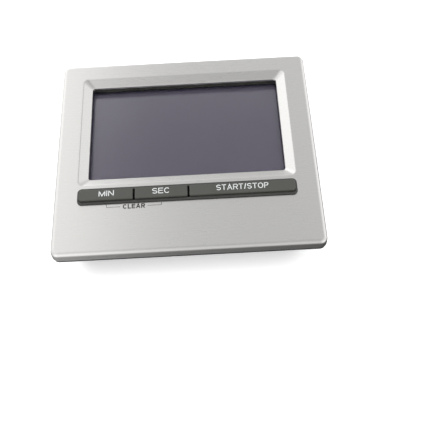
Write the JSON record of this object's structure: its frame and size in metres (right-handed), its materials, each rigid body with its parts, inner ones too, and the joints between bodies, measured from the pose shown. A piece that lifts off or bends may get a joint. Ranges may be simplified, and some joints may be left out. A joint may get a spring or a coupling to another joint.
{
  "type": "countdown timer",
  "caption": "Slim countdown timer with a brushed aluminium face, a large display, a row of press keys and a fold-out stand.",
  "frame": {"origin": "centre of the back plane, the face the timer lies on", "axes": "+X to the right of the face, +Y to the top of the face, +Z out of the face"},
  "size_m": [0.085, 0.0762, 0.0163],
  "materials": {
    "brushed_aluminium": "horizontally brushed, satin",
    "black_abs": "fine moulded texture",
    "housing_grey": "fine moulded texture",
    "key_grey": "satin dark grey paint",
    "adhesive": "foam tape",
    "clear_acrylic": "clear, flat",
    "polariser": "semi-gloss film",
    "lcd_glass": "clear, cut edges",
    "reflector": "silvered film",
    "holder_white": "moulded",
    "silicone": "translucent grey silicone",
    "carbon": "matte",
    "zebra_rubber": "striped",
    "board_green": "solder mask",
    "steel": "zinc plated",
    "resin": "cast",
    "crystal_can": "drawn can",
    "chip_ceramic": "fired",
    "magnet_nickel": "nickel plated",
    "brass_disc": "rolled",
    "piezo_ceramic": "silvered",
    "wire_red": "extruded",
    "wire_black": "extruded",
    "cell_wrap": "plain shrink sleeve"
  },
  "bodies": {
    "case": {"battery_cell": "cell_wrap", "battery_wire_negative": "wire_black", "battery_wire_positive": "wire_red", "board_screws": "steel", "buzzer_brass_disc": "brass_disc", "buzzer_ceramic_disc": "piezo_ceramic", "buzzer_wires": "wire_black", "case_screws": "steel", "controller_blob": "resin", "display_lens": "clear_acrylic", "dome_min": "silicone", "dome_sec": "silicone", "dome_start_stop": "silicone", "face_adhesive": "adhesive", "face_plate": "brushed_aluminium", "front_housing": "housing_grey", "keypad_mat": "silicone", "lcd_front_glass": "lcd_glass", "lcd_front_polariser": "polariser", "lcd_holder": "holder_white", "lcd_rear_glass": "lcd_glass", "lcd_reflector": "reflector", "lens_adhesive": "adhesive", "magnets": "magnet_nickel", "main_board": "board_green", "negative_contact": "steel", "positive_contact": "steel", "quartz_crystal": "crystal_can", "rear_case": "black_abs", "surface_mount_parts": "chip_ceramic", "zebra_connector": "zebra_rubber"},
    "stand": {"stand": "black_abs"},
    "battery_door": {"battery_door": "black_abs"},
    "key_min": {"key_min_cap": "key_grey", "carbon_pill_min": "carbon"},
    "key_sec": {"key_sec_cap": "key_grey", "carbon_pill_sec": "carbon"},
    "key_start_stop": {"key_start_stop_cap": "key_grey", "carbon_pill_start_stop": "carbon"}
  },
  "joints": [
    {"name": "key_min_press", "type": "slide", "parent": "case", "child": "key_min", "axis": [0, 0, -1], "range_m": [0, 0.0009], "stiffness_N_per_m": 1000, "deforming": ["dome_min"]},
    {"name": "key_sec_press", "type": "slide", "parent": "case", "child": "key_sec", "axis": [0, 0, -1], "range_m": [0, 0.0009], "stiffness_N_per_m": 1000, "deforming": ["dome_sec"]},
    {"name": "key_start_stop_press", "type": "slide", "parent": "case", "child": "key_start_stop", "axis": [0, 0, -1], "range_m": [0, 0.0009], "stiffness_N_per_m": 1000, "deforming": ["dome_start_stop"]},
    {"name": "stand_hinge", "type": "hinge", "parent": "case", "child": "stand", "pos_m": [0, -0.014, 0.0016], "axis": [-1, 0, 0], "range_deg": [0, 103]},
    {"name": "battery_door_slide", "type": "slide", "parent": "case", "child": "battery_door", "axis": [0, -1, 0], "range_m": [0, 0.013]}
  ]
}
